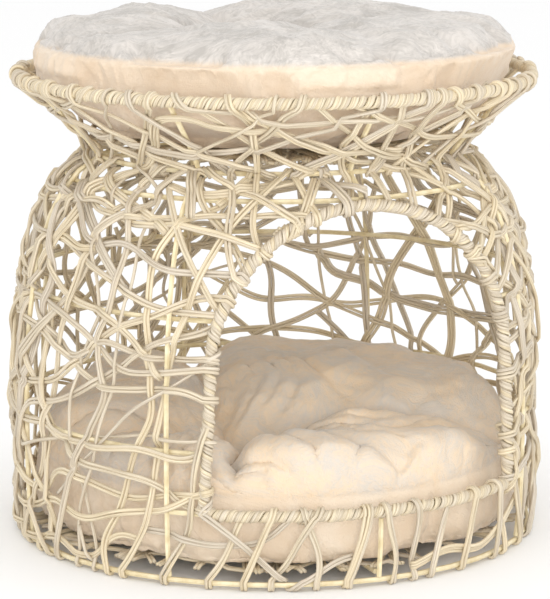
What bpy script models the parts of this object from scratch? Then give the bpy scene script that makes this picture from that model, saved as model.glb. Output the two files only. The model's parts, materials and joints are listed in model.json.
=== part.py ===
"""Two-level wicker pet house: a domed cave with an arched door, under a flared bowl bed, and a cushion in each.

Metres, +Z up. The origin is the centre of the footprint, on the surface that the house stands on. The door faces
-Y. An azimuth is measured about Z from the door's centre line and grows towards +X.
"""

import math

import bmesh
import bpy
from mathutils import Vector

# The bare wire frame.
WIRE_RADIUS = 0.0024
GAP = 0.0004
WELD_GAP = WIRE_RADIUS + GAP + 0.0002
RIB_COUNT = 8
RIB_STEP = math.tau / RIB_COUNT
RING_STEPS = 40

BASE_RING = (0.2385, 0.0058)
NECK_RING = (0.1710, 0.3550)
RIM_RING = (0.2354, 0.4240)
LOWER_HOOP_HEIGHT = 0.120
MIDDLE_HOOP_HEIGHT = 0.237
SHOULDER_HOOP_HEIGHT = 0.338

# Profiles as (radius, height) control points of cubic Bezier curves, from the bottom up.
WALL_LOW = ((0.2390, 0.0088), (0.2435, 0.0300), (0.2435, 0.0800), (0.2435, 0.1300))
WALL_HIGH = ((0.2435, 0.1300), (0.2435, 0.2475), (0.2232, 0.3348), (0.1737, 0.3535))
BOWL = ((0.1722, 0.3576), (0.1800, 0.3720), (0.2070, 0.3970), (0.2312, 0.4201))
WALL_LOW_STEPS = 3
WALL_HIGH_STEPS = 8
BOWL_STEPS = 4

# The door, seen square on from the front: two legs that lean in a little, and a half-round arch.
SILL_HEIGHT = 0.068
SILL_HALF_WIDTH = 0.1465
ARCH_HEIGHT = 0.190
ARCH_RADIUS = 0.1405

# The strands: the weave lies outside the ribs, and the bindings are wound round their wires.
WEAVE_INNER = 0.0030
WEAVE_OUTER = 0.0066
BINDING_BORE = WIRE_RADIUS + GAP
BINDING_RADIUS = 0.0052
BINDING_SIDES = 8
DOOR_CLEARANCE = BINDING_RADIUS + 0.0005
PANEL_GAP = 0.0015
NECK_SHARE = 0.8

# Floors: crossed wires, one on the other, with a woven disc on them.
FLOOR_WIRE_STEP = 2 * WIRE_RADIUS + GAP
FLOOR_WEAVE_THICKNESS = 0.0032
CAVE_FLOOR_RADIUS = 0.2305
BOWL_FLOOR_RADIUS = 0.1650

# Cushions: a skin over a filling, as half-sections of (radius, height) control points.
SKIN = 0.0012
CUSHION_STEPS = 24
UPPER_CUSHION = {
    "bottom": ((0.0, 0.3676), (0.110, 0.3676), (0.178, 0.3676), (0.2045, 0.4010)),
    "side": ((0.2050, 0.4026), (0.2200, 0.4130), (0.2265, 0.4360), (0.2225, 0.4514)),
    "top": ((0.2225, 0.4530), (0.2050, 0.4650), (0.1200, 0.4690), (0.0, 0.4690)),
}
LOWER_CUSHION = {
    "bottom": ((0.0, 0.0180), (0.120, 0.0180), (0.200, 0.0180), (0.2200, 0.0240)),
    "side": ((0.2200, 0.0256), (0.2285, 0.0350), (0.2310, 0.0650), (0.2230, 0.0864)),
    "top": ((0.2230, 0.0880), (0.2230, 0.1200), (0.1600, 0.1380), (0.0, 0.1380)),
}

COLOURS = {
    "cream_wire": ((0.82, 0.72, 0.47), 0.42, 0.0),
    "strand": ((0.70, 0.62, 0.48), 0.62, 0.0),
    "silver_plush": ((0.78, 0.74, 0.69), 0.85, 0.0),
    "peach_plush": ((0.84, 0.71, 0.57), 0.85, 0.0),
    "filling": ((0.90, 0.90, 0.88), 0.95, 0.0),
}


def clear_scene():
    for obj in list(bpy.data.objects):
        bpy.data.objects.remove(obj, do_unlink=True)


def make_material(name, colour, roughness, metallic):
    material = bpy.data.materials.new(name)
    material.use_nodes = True
    shader = material.node_tree.nodes["Principled BSDF"]
    shader.inputs["Base Color"].default_value = (*colour, 1.0)
    shader.inputs["Roughness"].default_value = roughness
    shader.inputs["Metallic"].default_value = metallic
    return material


def bezier(control, t):
    """The point of a cubic Bezier curve, as (radius, height)."""
    weights = ((1 - t) ** 3, 3 * (1 - t) ** 2 * t, 3 * (1 - t) * t**2, t**3)
    return tuple(sum(w * point[axis] for w, point in zip(weights, control)) for axis in (0, 1))


def bezier_direction(control, t):
    weights = ((1 - t) ** 2, 2 * (1 - t) * t, t**2)
    steps = [(b[0] - a[0], b[1] - a[1]) for a, b in zip(control, control[1:])]
    direction = Vector([sum(w * step[axis] for w, step in zip(weights, steps)) for axis in (0, 1)])
    return direction.normalized()


def offset_curve(control, steps, offset, start=0.0):
    """Points along a profile, moved sideways: to its right, which is outwards when it runs upwards."""
    points = []
    for i in range(steps + 1):
        t = start + (1.0 - start) * i / steps
        radius, height = bezier(control, t)
        direction = bezier_direction(control, t)
        points.append((radius + offset * direction.y, height - offset * direction.x))
    return points


def parameter_at(control, height):
    """The curve parameter where a rising profile reaches a height."""
    low, high = 0.0, 1.0
    for _ in range(40):
        middle = (low + high) / 2
        if bezier(control, middle)[1] < height:
            low = middle
        else:
            high = middle
    return low


def wall_curve(height):
    return WALL_LOW if height < WALL_HIGH[0][1] else WALL_HIGH


def wall_radius(height):
    control = wall_curve(height)
    return bezier(control, parameter_at(control, height))[0]


def inside_ribs(height):
    """(radius, height) of a hoop that lies against the inside of the ribs."""
    control = wall_curve(height)
    return offset_curve(control, 1, -(2 * WIRE_RADIUS + GAP), start=parameter_at(control, height))[0]


def wall_profile(offset=0.0):
    """The whole wall's profile from the base ring to the neck ring."""
    low = offset_curve(WALL_LOW, WALL_LOW_STEPS, offset)
    return low + offset_curve(WALL_HIGH, WALL_HIGH_STEPS, offset)[1:]


def clipped(profile, low, high):
    """The stretch of a rising profile between two heights."""
    points = []
    for first, second in zip(profile, profile[1:]):
        if second[1] <= low or first[1] >= high:
            continue
        for point in (first, second):
            height = min(max(point[1], low), high)
            share = (height - first[1]) / (second[1] - first[1])
            points.append((first[0] + share * (second[0] - first[0]), height))
    return points[:1] + points[1::2]


def around(radius, azimuth, height):
    return Vector((radius * math.sin(azimuth), -radius * math.cos(azimuth), height))


def on_wall(x, height):
    """The point of the front wall straight behind (x, height), as the door's outline is drawn."""
    return Vector((x, -math.sqrt(wall_radius(height) ** 2 - x**2), height))


def door_half_width(height):
    if height > ARCH_HEIGHT:
        return math.sqrt(ARCH_RADIUS**2 - (height - ARCH_HEIGHT) ** 2)
    lean = (height - SILL_HEIGHT) / (ARCH_HEIGHT - SILL_HEIGHT)
    return SILL_HALF_WIDTH + lean * (ARCH_RADIUS - SILL_HALF_WIDTH)


def door_outline(foot_height, leg_steps, arch_steps, grow=0.0):
    """The door's (x, height) outline from the left foot over the arch to the right foot."""
    right = []
    for i in range(leg_steps):
        height = foot_height + (ARCH_HEIGHT - foot_height) * i / leg_steps
        right.append((door_half_width(height) + grow, height))
    arch = []
    for i in range(arch_steps + 1):
        angle = math.pi * (1 - i / arch_steps)
        arch.append(
            ((ARCH_RADIUS + grow) * math.cos(angle), ARCH_HEIGHT + (ARCH_RADIUS + grow) * math.sin(angle))
        )
    left = [(-x, height) for x, height in right]
    return left + arch + right[::-1]


def new_object(name, data, material):
    data.materials.append(material)
    obj = bpy.data.objects.new(name, data)
    bpy.context.scene.collection.objects.link(obj)
    return obj


def mesh_object(name, bm, material):
    bmesh.ops.remove_doubles(bm, verts=bm.verts, dist=1e-6)
    bmesh.ops.recalc_face_normals(bm, faces=bm.faces)
    mesh = bpy.data.meshes.new(name)
    bm.to_mesh(mesh)
    bm.free()
    mesh.shade_smooth()
    mesh.set_sharp_from_angle(angle=math.radians(50))
    return new_object(name, mesh, material)


def wire(name, points, material, closed=False):
    """A round wire through the points, as a curve with a bevel."""
    curve = bpy.data.curves.new(name, "CURVE")
    curve.dimensions = "3D"
    curve.bevel_depth = WIRE_RADIUS
    curve.bevel_resolution = 1
    curve.use_fill_caps = True
    spline = curve.splines.new("POLY")
    spline.points.add(len(points) - 1)
    for spline_point, point in zip(spline.points, points):
        spline_point.co = (*point, 1.0)
    spline.use_cyclic_u = closed
    spline.use_smooth = True
    return new_object(name, curve, material)


def ring(name, radius, height, material):
    points = [around(radius, math.tau * i / RING_STEPS, height) for i in range(RING_STEPS)]
    return wire(name, points, material, closed=True)


def door_hoop(name, height, material):
    """A hoop inside the ribs that stops at the door's legs."""
    radius, hoop_height = inside_ribs(height)
    clear = (DOOR_CLEARANCE + GAP) / radius
    start = math.asin(door_half_width(height) / wall_radius(height)) + clear
    steps = RING_STEPS - 8
    azimuths = [start + (math.tau - 2 * start) * i / steps for i in range(steps + 1)]
    return wire(name, [around(radius, azimuth, hoop_height) for azimuth in azimuths], material)


def rib(name, azimuth, profile, material):
    return wire(name, [around(radius, azimuth, height) for radius, height in profile], material)


def sleeve(name, points, material):
    """A wound binding as a tube with a bore, open at both ends, round a path."""
    bm = bmesh.new()
    loops = []
    for i, point in enumerate(points):
        before = points[max(i - 1, 0)]
        after = points[min(i + 1, len(points) - 1)]
        along = (after - before).normalized()
        outward = Vector((point.x, point.y, 0.0))
        across = (outward - outward.dot(along) * along).normalized()
        up = along.cross(across)
        for radius in (BINDING_BORE, BINDING_RADIUS):
            loop = []
            for side in range(BINDING_SIDES):
                angle = math.tau * side / BINDING_SIDES
                loop.append(bm.verts.new(point + radius * (math.cos(angle) * across + math.sin(angle) * up)))
            loops.append(loop)
    bores, outsides = loops[::2], loops[1::2]
    walls = list(zip(bores, bores[1:])) + list(zip(outsides, outsides[1:]))
    ends = [(bores[0], outsides[0]), (bores[-1], outsides[-1])]
    for first, second in walls + ends:
        for side in range(BINDING_SIDES):
            after = (side + 1) % BINDING_SIDES
            bm.faces.new((first[side], first[after], second[after], second[side]))
    return mesh_object(name, bm, material)


def swept_panel(name, section, start, end, steps, material):
    """A closed (radius, height) section swept about Z from one azimuth to another."""
    bm = bmesh.new()
    loops = []
    for i in range(steps + 1):
        azimuth = start + (end - start) * i / steps
        loops.append([bm.verts.new(around(radius, azimuth, height)) for radius, height in section])
    for first, second in zip(loops, loops[1:]):
        for i in range(len(section)):
            after = (i + 1) % len(section)
            bm.faces.new((first[i], first[after], second[after], second[i]))
    bm.faces.new(loops[0])
    bm.faces.new(loops[-1])
    return mesh_object(name, bm, material)


def turned(name, section, steps, material):
    """A closed (radius, height) section turned once round Z. It may touch the axis."""
    bm = bmesh.new()
    loops = []
    for i in range(steps):
        azimuth = math.tau * i / steps
        loops.append([bm.verts.new(around(radius, azimuth, height)) for radius, height in section])
    for first, second in zip(loops, loops[1:] + loops[:1]):
        for i in range(len(section)):
            after = (i + 1) % len(section)
            on_axis = section[i][0] == 0 and section[after][0] == 0
            if not on_axis:
                bm.faces.new((first[i], first[after], second[after], second[i]))
    bmesh.ops.remove_doubles(bm, verts=bm.verts, dist=1e-6)
    bmesh.ops.dissolve_degenerate(bm, dist=1e-7, edges=bm.edges)
    return mesh_object(name, bm, material)


def make_rings(material):
    ring("base_ring", *BASE_RING, material)
    door_hoop("lower_hoop", LOWER_HOOP_HEIGHT, material)
    door_hoop("middle_hoop", MIDDLE_HOOP_HEIGHT, material)
    ring("shoulder_hoop", *inside_ribs(SHOULDER_HOOP_HEIGHT), material)
    ring("neck_ring", *NECK_RING, material)
    ring("rim_ring", *RIM_RING, material)


def make_ribs(material):
    wall = wall_profile()
    bowl = offset_curve(BOWL, BOWL_STEPS, 0.0)
    names = ("front_right", "right", "back_right", "back", "back_left", "left", "front_left")
    for i, name in enumerate(names, start=1):
        rib(f"wall_rib_{name}", i * RIB_STEP, wall, material)
    for i, name in enumerate(("front", *names)):
        rib(f"bowl_rib_{name}", i * RIB_STEP, bowl, material)

    bottom, top = wall[0][1], wall[-1][1]
    rib("sill_rib", 0.0, clipped(wall, bottom, SILL_HEIGHT - DOOR_CLEARANCE), material)
    rib("arch_rib", 0.0, clipped(wall, ARCH_HEIGHT + ARCH_RADIUS + DOOR_CLEARANCE, top), material)


def make_door(wire_material, strand_material):
    """The sill bar runs between the ribs beside the door, and the arch stands on it."""
    radius = wall_radius(SILL_HEIGHT)
    bar_end = RIB_STEP - WELD_GAP / radius
    bar_azimuths = [-bar_end] + [math.radians(9 * i) for i in range(-4, 5)] + [bar_end]
    wire("door_sill_bar", [around(radius, azimuth, SILL_HEIGHT) for azimuth in bar_azimuths], wire_material)

    binding_end = math.asin(SILL_HALF_WIDTH / radius) - (DOOR_CLEARANCE + GAP) / radius
    binding_azimuths = [-binding_end] + [math.radians(9 * i) for i in range(-3, 4)] + [binding_end]
    binding_path = [around(radius, azimuth, SILL_HEIGHT) for azimuth in binding_azimuths]
    sleeve("sill_binding", binding_path, strand_material)

    arch = [on_wall(x, z) for x, z in door_outline(SILL_HEIGHT + WELD_GAP, 2, 14)]
    wire("door_arch_wire", arch, wire_material)
    sleeve("arch_binding", arch, strand_material)


def make_rim_binding(material):
    """Its two ends meet at the back, with a slit between them."""
    slit = PANEL_GAP / RIM_RING[0]
    start = math.pi + slit / 2
    azimuths = [start + (math.tau - slit) * i / RING_STEPS for i in range(RING_STEPS + 1)]
    sleeve("rim_binding", [around(RIM_RING[0], azimuth, RIM_RING[1]) for azimuth in azimuths], material)


def stopped_short(profile, share):
    """A profile with only this share of its last step."""
    (radius, height), (last_radius, last_height) = profile[-2:]
    end = (radius + share * (last_radius - radius), height + share * (last_height - height))
    return profile[:-1] + [end]


def wall_weave_section():
    """A skin just outside the ribs that turns in under the base ring and up inside it."""
    outside = stopped_short(wall_profile(WEAVE_OUTER), NECK_SHARE)
    inside = stopped_short(wall_profile(WEAVE_INNER), NECK_SHARE)
    ring_radius, ring_height = BASE_RING
    floor_gap = ring_height - WEAVE_INNER
    lip_height = ring_height + WELD_GAP - GAP
    lip_inside = [
        (ring_radius + WEAVE_INNER, ring_height - 0.0018),
        (ring_radius + 0.0025, floor_gap),
        (ring_radius - 0.0025, floor_gap),
        (ring_radius - WEAVE_INNER, ring_height - 0.0018),
        (ring_radius - WEAVE_INNER, lip_height),
    ]
    lip_outside = [
        (ring_radius - WEAVE_OUTER, lip_height),
        (ring_radius - WEAVE_OUTER, 0.0018),
        (ring_radius - 0.0048, 0.0),
        (ring_radius + 0.0048, 0.0),
        (ring_radius + WEAVE_OUTER - 0.0002, 0.0020),
    ]
    return outside[::-1] + lip_outside[::-1] + lip_inside[::-1] + inside


def door_cutter():
    """A prism of the door's outline, as large as the outside of its binding."""
    outline = door_outline(SILL_HEIGHT - DOOR_CLEARANCE, 2, 24, grow=DOOR_CLEARANCE)
    near, far = -0.30, -0.08
    bm = bmesh.new()
    front = [bm.verts.new((x, near, z)) for x, z in outline]
    back = [bm.verts.new((x, far, z)) for x, z in outline]
    bm.faces.new(front)
    bm.faces.new(back)
    for i in range(len(outline)):
        after = (i + 1) % len(outline)
        bm.faces.new((front[i], front[after], back[after], back[i]))
    cutter = mesh_object("door_cutter", bm, bpy.data.materials["strand"])
    cutter.hide_render = True
    cutter.display_type = "WIRE"
    return cutter


def make_wall_weave(material):
    section = wall_weave_section()
    cutter = door_cutter()
    margin = PANEL_GAP / 2 / wall_radius(LOWER_HOOP_HEIGHT)
    names = (
        "front_right",
        "right_front",
        "right_back",
        "back_right",
        "back_left",
        "left_back",
        "left_front",
        "front_left",
    )
    for i, name in enumerate(names):
        start, end = i * RIB_STEP + margin, (i + 1) * RIB_STEP - margin
        panel = swept_panel(f"wall_weave_{name}", section, start, end, 5, material)
        if name in ("front_right", "front_left"):
            cut = panel.modifiers.new("door", "BOOLEAN")
            cut.operation = "DIFFERENCE"
            cut.solver = "EXACT"
            cut.object = cutter


def make_bowl_weave(material):
    outside = offset_curve(BOWL, BOWL_STEPS, WEAVE_OUTER, start=0.1)
    inside = offset_curve(BOWL, BOWL_STEPS, WEAVE_INNER, start=0.1)
    margin = PANEL_GAP / 2 / NECK_RING[0]
    for i, name in enumerate(("right_front", "right_back", "left_back", "left_front")):
        start, end = 2 * i * RIB_STEP + margin, 2 * (i + 1) * RIB_STEP - margin
        swept_panel(f"bowl_weave_{name}", outside + inside[::-1], start, end, 10, material)


def make_floor(name, ring_height, wire_length, weave_radius, wire_material, strand_material):
    upper = ring_height + FLOOR_WIRE_STEP
    reach = wire_length / 2
    wire(f"{name}_floor_wire_across", [(-reach, 0, ring_height), (reach, 0, ring_height)], wire_material)
    wire(f"{name}_floor_wire_lengthwise", [(0, -reach, upper), (0, reach, upper)], wire_material)
    low = upper + WIRE_RADIUS + GAP
    high = low + FLOOR_WEAVE_THICKNESS
    section = ((0.0, low), (weave_radius, low), (weave_radius, high), (0.0, high))
    turned(f"{name}_floor_weave", section, RING_STEPS, strand_material)


def make_floors(wire_material, strand_material):
    cave_length = 2 * (BASE_RING[0] - WEAVE_OUTER - GAP)
    make_floor("cave", BASE_RING[1], cave_length, CAVE_FLOOR_RADIUS, wire_material, strand_material)
    bowl_length = 2 * (NECK_RING[0] - WELD_GAP)
    make_floor("bowl", NECK_RING[1], bowl_length, BOWL_FLOOR_RADIUS, wire_material, strand_material)


def make_cushion(name, curves, panel_material, band_material, filling_material):
    """Three skins, each as thick as its cloth, and the filling that they hold."""
    bottom, side, top = curves["bottom"], curves["side"], curves["top"]
    for part, curve, steps, material in (
        ("bottom_panel", bottom, 5, panel_material),
        ("side_band", side, 4, band_material),
        ("top_panel", top, 5, panel_material),
    ):
        outside = offset_curve(curve, steps, 0.0)
        inside = offset_curve(curve, steps, -SKIN)
        turned(f"{name}_{part}", outside + inside[::-1], CUSHION_STEPS, material)

    inset = -(SKIN + GAP)
    outline = offset_curve(bottom, 5, inset)[:-1]
    outline += offset_curve(side, 4, inset)
    outline += offset_curve(top, 5, inset)[1:]
    turned(f"{name}_filling", outline, CUSHION_STEPS, filling_material)


def main():
    clear_scene()
    materials = {name: make_material(name, *look) for name, look in COLOURS.items()}
    cream_wire, strand = materials["cream_wire"], materials["strand"]
    make_rings(cream_wire)
    make_ribs(cream_wire)
    make_door(cream_wire, strand)
    make_rim_binding(strand)
    make_wall_weave(strand)
    make_bowl_weave(strand)
    make_floors(cream_wire, strand)
    for name, curves in (("upper_cushion", UPPER_CUSHION), ("lower_cushion", LOWER_CUSHION)):
        make_cushion(name, curves, materials["silver_plush"], materials["peach_plush"], materials["filling"])


main()
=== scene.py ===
"""The looks of the wicker pet house: strands woven over its wires, wound bindings and two plush cushions."""

import json
import math
import random

import bmesh
import bpy
import numpy as np
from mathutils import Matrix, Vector, noise


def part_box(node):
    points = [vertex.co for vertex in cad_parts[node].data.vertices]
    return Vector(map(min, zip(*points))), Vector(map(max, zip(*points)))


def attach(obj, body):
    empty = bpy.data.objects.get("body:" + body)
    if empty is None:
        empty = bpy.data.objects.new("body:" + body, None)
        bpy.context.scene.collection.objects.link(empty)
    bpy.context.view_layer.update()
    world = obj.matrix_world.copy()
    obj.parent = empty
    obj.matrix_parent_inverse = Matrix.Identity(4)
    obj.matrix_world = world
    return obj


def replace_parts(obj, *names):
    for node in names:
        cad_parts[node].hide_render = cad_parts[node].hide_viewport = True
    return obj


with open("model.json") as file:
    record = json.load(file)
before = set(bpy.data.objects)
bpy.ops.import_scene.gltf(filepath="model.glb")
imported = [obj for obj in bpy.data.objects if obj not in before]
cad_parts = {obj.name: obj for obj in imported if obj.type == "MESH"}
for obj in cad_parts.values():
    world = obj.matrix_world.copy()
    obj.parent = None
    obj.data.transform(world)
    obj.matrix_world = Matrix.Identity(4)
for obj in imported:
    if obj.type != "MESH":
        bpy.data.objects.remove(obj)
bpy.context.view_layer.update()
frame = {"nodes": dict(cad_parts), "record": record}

# ---------------------------------------------------------------- driving dimensions, in metres

# Profiles of the ribs, as the CAD has them: (radius, height) control points of cubic Bezier curves.
WALL_LOW = ((0.2390, 0.0088), (0.2435, 0.0300), (0.2435, 0.0800), (0.2435, 0.1300))
WALL_HIGH = ((0.2435, 0.1300), (0.2435, 0.2475), (0.2232, 0.3348), (0.1737, 0.3535))
BOWL = ((0.1722, 0.3576), (0.1800, 0.3720), (0.2070, 0.3970), (0.2312, 0.4201))

# The door seen square on: legs that lean in, and a half-round arch.
SILL_HEIGHT = 0.068
SILL_HALF_WIDTH = 0.1465
ARCH_HEIGHT = 0.190
ARCH_RADIUS = 0.1405

WIRE_RADIUS = 0.0024
STRAND_RADIUS = 0.00162
STRAND_PITCH = 0.00310
LOOP_RADIUS = WIRE_RADIUS + STRAND_RADIUS + 0.0001
HOOP_INSET = 2 * WIRE_RADIUS + 0.0004
HOOK_RADIUS = LOOP_RADIUS + 1.7 * STRAND_RADIUS
LAYER = 2 * STRAND_RADIUS
STEP = 0.0042
SIDES = 8
TURN_STEPS = 8

# How the runs of strands lie.
TRIES = 9
COVER_CELL = 0.009
UPRIGHTS = 46
ARCH_UPRIGHTS = 9
UPRIGHT_SWAY = 0.26
THROUGH_SHARE = 0.42
ROW_STEP = 0.0235
ROUND_SWAY = 0.26
SLANTS = 22
SWOOPS = 46
SWOOP_SLANT = (0.45, 0.97)
SWAY_LENGTH = 0.045
CORNER_RADIUS = 0.020
ROLL = 0.25
UNROLL_RADIUS = 0.22
HEIGHT_ROUNDS = 260
LEAST_HEIGHT = 0.0115
MOST_HEIGHT = 0.0085
# Shares of the runs, or of the places where they meet a wire.
TUCKED_IN = 0.35
HOOKED_START = 0.65
TURNED_FROM_OUTSIDE = 0.7
OVER_RIB = 0.66
OVER_HOOP = 0.72
SIDE_KEPT = 0.22
MEMBERS = ((1, 2, 3), (7, 79, 14))
FEWEST_SAMPLES = 12
FLOOR_WAVE = 0.0022
FLOOR_MEMBERS = 2
# (room, strands laid across its floor, seed)
FLOORS = (("bowl", 64, 21), ("cave", 46, 22))
WINDING_LEAD = 0.0142
WINDING_STARTS = 4

# The cushions, as the CAD has them: (radius, height) control points of cubic Bezier curves.
UPPER_CUSHION = {
    "bottom": ((0.0, 0.3676), (0.110, 0.3676), (0.178, 0.3676), (0.2045, 0.4010)),
    "side": ((0.2050, 0.4026), (0.2200, 0.4130), (0.2265, 0.4360), (0.2225, 0.4514)),
    "top": ((0.2225, 0.4530), (0.2050, 0.4650), (0.1200, 0.4690), (0.0, 0.4690)),
}
LOWER_CUSHION = {
    "bottom": ((0.0, 0.0180), (0.120, 0.0180), (0.200, 0.0180), (0.2200, 0.0240)),
    "side": ((0.2200, 0.0256), (0.2285, 0.0350), (0.2310, 0.0650), (0.2230, 0.0864)),
    "top": ((0.2230, 0.0880), (0.2230, 0.1200), (0.1600, 0.1380), (0.0, 0.1380)),
}
FORM_SIDES = 128
VOXEL = 0.005
UPPER_OPTIONS = {
    "shrink": 0.0015,
    "flatten": 0.55,
    "seam": 0.4540,
    "seam_radius": 0.2205,
    "tuft": (-0.02, 0.02),
    "tuft_depth": 0.030,
    "tuft_reach": 0.045,
    "creases": (
        (0.036, 0.018, 0.030, ((0.0, 0.21),)),
        (0.028, 0.006, 0.016, ((-0.10, -0.03), (-0.19, -0.02))),
        (0.026, 0.006, 0.016, ((0.08, -0.02), (0.19, 0.01))),
        (0.014, 0.003, 0.012, ((0.02, -0.15),)),
    ),
    "lobe": 0.011,
    "lobe_reach": 0.055,
    "pleats": 26,
    "pleat_depth": 0.006,
    "pleat_reach": 0.18,
    "pressure": 2.0,
    "growth": 0.12,
    "bending": 0.05,
    "frames": 20,
    "most": 0.012,
    "wrinkles": ((10, 0.0034), (26, 0.0020), (60, 0.0010)),
    "band_wrinkle": 0.12,
    "seam_depth": 0.0016,
    "fill": 0.8,
    "seed": 3.0,
}
LOWER_OPTIONS = {
    "shrink": 0.003,
    "flatten": 0.66,
    "seam": 0.0780,
    "seam_radius": 0.2230,
    "tuft": (-0.070, -0.082),
    "tuft_depth": 0.055,
    "tuft_reach": 0.030,
    "creases": (
        (0.030, 0.008, 0.016, ((-0.115, -0.20),)),
        (0.052, 0.018, 0.018, ((-0.02, -0.062), (0.05, -0.072), (0.11, -0.095), (0.19, -0.12))),
        (0.036, 0.014, 0.018, ((-0.055, 0.02), (-0.01, 0.20))),
        (0.032, 0.010, 0.016, ((-0.14, -0.055), (-0.21, -0.05))),
        (0.012, 0.008, 0.011, ((-0.02, -0.15), (0.03, -0.21))),
        (0.010, 0.014, 0.045, ((0.0, -0.13), (0.12, -0.14), (0.19, -0.12))),
    ),
    "lobe": 0.010,
    "lobe_reach": 0.050,
    "pleats": 26,
    "pleat_depth": 0.015,
    "pleat_reach": 0.26,
    "pressure": 1.0,
    "growth": 0.18,
    "bending": 0.03,
    "frames": 22,
    "most": 0.014,
    "wrinkles": ((9, 0.0055), (20, 0.0028), (48, 0.0010)),
    "band_wrinkle": 0.8,
    "seam_depth": 0.0016,
    "fill": 0.45,
    "seed": 8.0,
}

# The lower cushion's travel, and how far inside the wall's curve the innermost strands and hoops reach.
LOWER_LIFT = 0.150
LIFT_STEPS = 31
ROOM_INSET = 0.0145
ROOM_SOFTNESS = 0.0015
# Within this distance of that limit the covers' wrinkles fade, to this share of their size.
WRINKLE_FADE = 0.012
LEAST_WRINKLE = 0.15
# The same for the bowl, the top of its bound rim, and how it opens out above that: height and width.
BOWL_INSET = 0.0145
RIM_TOP = 0.4330
RIM_OPENS = 0.0080
RIM_WIDENS = 0.030
# How far the covers' undersides stay above the CAD solids', so that they lie on the floors' strands.
FLOOR_CLEARANCE = 0.0015

# Each panel's two colours, the size of the patches, and how much fine streaks count beside them.
SILVER_PLUSH = {
    "top": ((0.46, 0.43, 0.395), (0.67, 0.625, 0.58)),
    "band": ((0.72, 0.57, 0.42), (0.78, 0.65, 0.51)),
    "patch_scale": 26.0,
    "streak_share": 0.42,
}
PEACH_PLUSH = {
    "top": ((0.80, 0.635, 0.455), (0.655, 0.59, 0.515)),
    "band": ((0.75, 0.60, 0.44), (0.80, 0.68, 0.54)),
    "patch_scale": 17.0,
    "streak_share": 0.34,
}

CAMERA_TURN = math.radians(-22.3)
CAMERA_TILT = math.radians(90 - 11.10)
CAMERA_DISTANCE = 2.635
CAMERA_HEIGHT = 0.728
CAMERA_LENS = 172.9

# (name, place, size, power in watts)
LIGHTS = (
    ("key", (-1.6, -2.0, 2.2), 1.6, 9.5),
    ("fill", (2.2, -1.4, 1.2), 2.2, 6.0),
    ("low", (-0.9, -2.7, 0.85), 1.0, 19.0),
    ("front", (-0.9, -2.7, 0.35), 1.0, 9.0),
    ("top", (0.2, 0.4, 2.6), 1.8, 3.0),
)

RIB_STEP = math.tau / 8
NAMES_OF_EIGHT = (
    "front_right",
    "right_front",
    "right_back",
    "back_right",
    "back_left",
    "left_back",
    "left_front",
    "front_left",
)
NAMES_OF_FOUR = ("right_front", "right_back", "left_back", "left_front")


def ring_place(node):
    """(radius, height) of a CAD ring's centre line."""
    low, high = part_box(node)
    return (high.x - low.x) / 2 - WIRE_RADIUS, (high.z + low.z) / 2


BASE_RING = ring_place("base_ring")
NECK_RING = ring_place("neck_ring")
RIM_RING = ring_place("rim_ring")
HOOP_HEIGHTS = {name: ring_place(name)[1] for name in ("lower_hoop", "middle_hoop", "shoulder_hoop")}


# ---------------------------------------------------------------- the surface that the strands follow


def bezier_points(control, steps):
    control = np.array(control)
    t = np.linspace(0.0, 1.0, steps + 1)[:, None]
    weights = ((1 - t) ** 3, 3 * (1 - t) ** 2 * t, 3 * (1 - t) * t**2, t**3)
    return sum(w * p for w, p in zip(weights, control))


def evenly(points, step):
    """A polyline's points again, at even steps of its length."""
    lengths = np.concatenate(([0.0], np.cumsum(np.hypot(*np.diff(points, axis=0).T))))
    count = int(round(lengths[-1] / step))
    at = np.linspace(0.0, lengths[-1], count + 1)
    return np.stack([np.interp(at, lengths, points[:, axis]) for axis in (0, 1)], axis=1), at


class Chart:
    """A surface turned about Z, as its profile: (azimuth, length, height off it) to a place in space."""

    def __init__(self, profile):
        self.points, self.at = evenly(profile, 0.001)
        along = np.gradient(self.points, self.at, axis=0)
        along /= np.linalg.norm(along, axis=1)[:, None]
        self.along = along
        self.length = self.at[-1]

    def radius(self, s):
        return np.interp(s, self.at, self.points[:, 0])

    def slope(self, s):
        """How fast the radius grows along the profile."""
        return np.interp(s, self.at, self.along[:, 0])

    def section(self, s):
        """(place, along, outward) in the profile's plane, straight on past both ends."""
        inside = np.clip(s, 0.0, self.length)
        place = np.stack([np.interp(inside, self.at, self.points[:, axis]) for axis in (0, 1)], axis=1)
        along = np.stack([np.interp(inside, self.at, self.along[:, axis]) for axis in (0, 1)], axis=1)
        place = place + (s - inside)[:, None] * along
        outward = np.stack([along[:, 1], -along[:, 0]], axis=1)
        return place, along, outward

    def place(self, azimuth, s, height, facing):
        """(points, directions) in space. facing holds the directions as (across, along, outward)."""
        place, along, outward = self.section(s)
        place = place + height[:, None] * outward
        sine, cosine = np.sin(azimuth), np.cos(azimuth)
        points = np.stack([place[:, 0] * sine, -place[:, 0] * cosine, place[:, 1]], axis=1)
        flat = facing[:, 1:2] * along + facing[:, 2:3] * outward
        directions = np.stack(
            [
                flat[:, 0] * sine + facing[:, 0] * cosine,
                -flat[:, 0] * cosine + facing[:, 0] * sine,
                flat[:, 1],
            ],
            axis=1,
        )
        return points, unit(directions)

    def spot(self, s):
        """(radius, height) of one place on the profile."""
        return self.section(np.array([s]))[0][0]

    def at_height(self, z):
        return float(np.interp(z, self.points[:, 1], self.at))


def smoothed(points, reach):
    """A polyline with its corners rounded over about this length."""
    points, _ = evenly(points, 0.001)
    width = int(reach / 0.001)
    kernel = np.hanning(width + 2)[1:-1]
    kernel /= kernel.sum()
    padded = np.concatenate([np.repeat(points[:1], width, 0), points, np.repeat(points[-1:], width, 0)])
    columns = [np.convolve(padded[:, axis], kernel, mode="same")[width:-width] for axis in (0, 1)]
    result = np.stack(columns, axis=1)
    result[0], result[-1] = points[0], points[-1]
    return result


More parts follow.
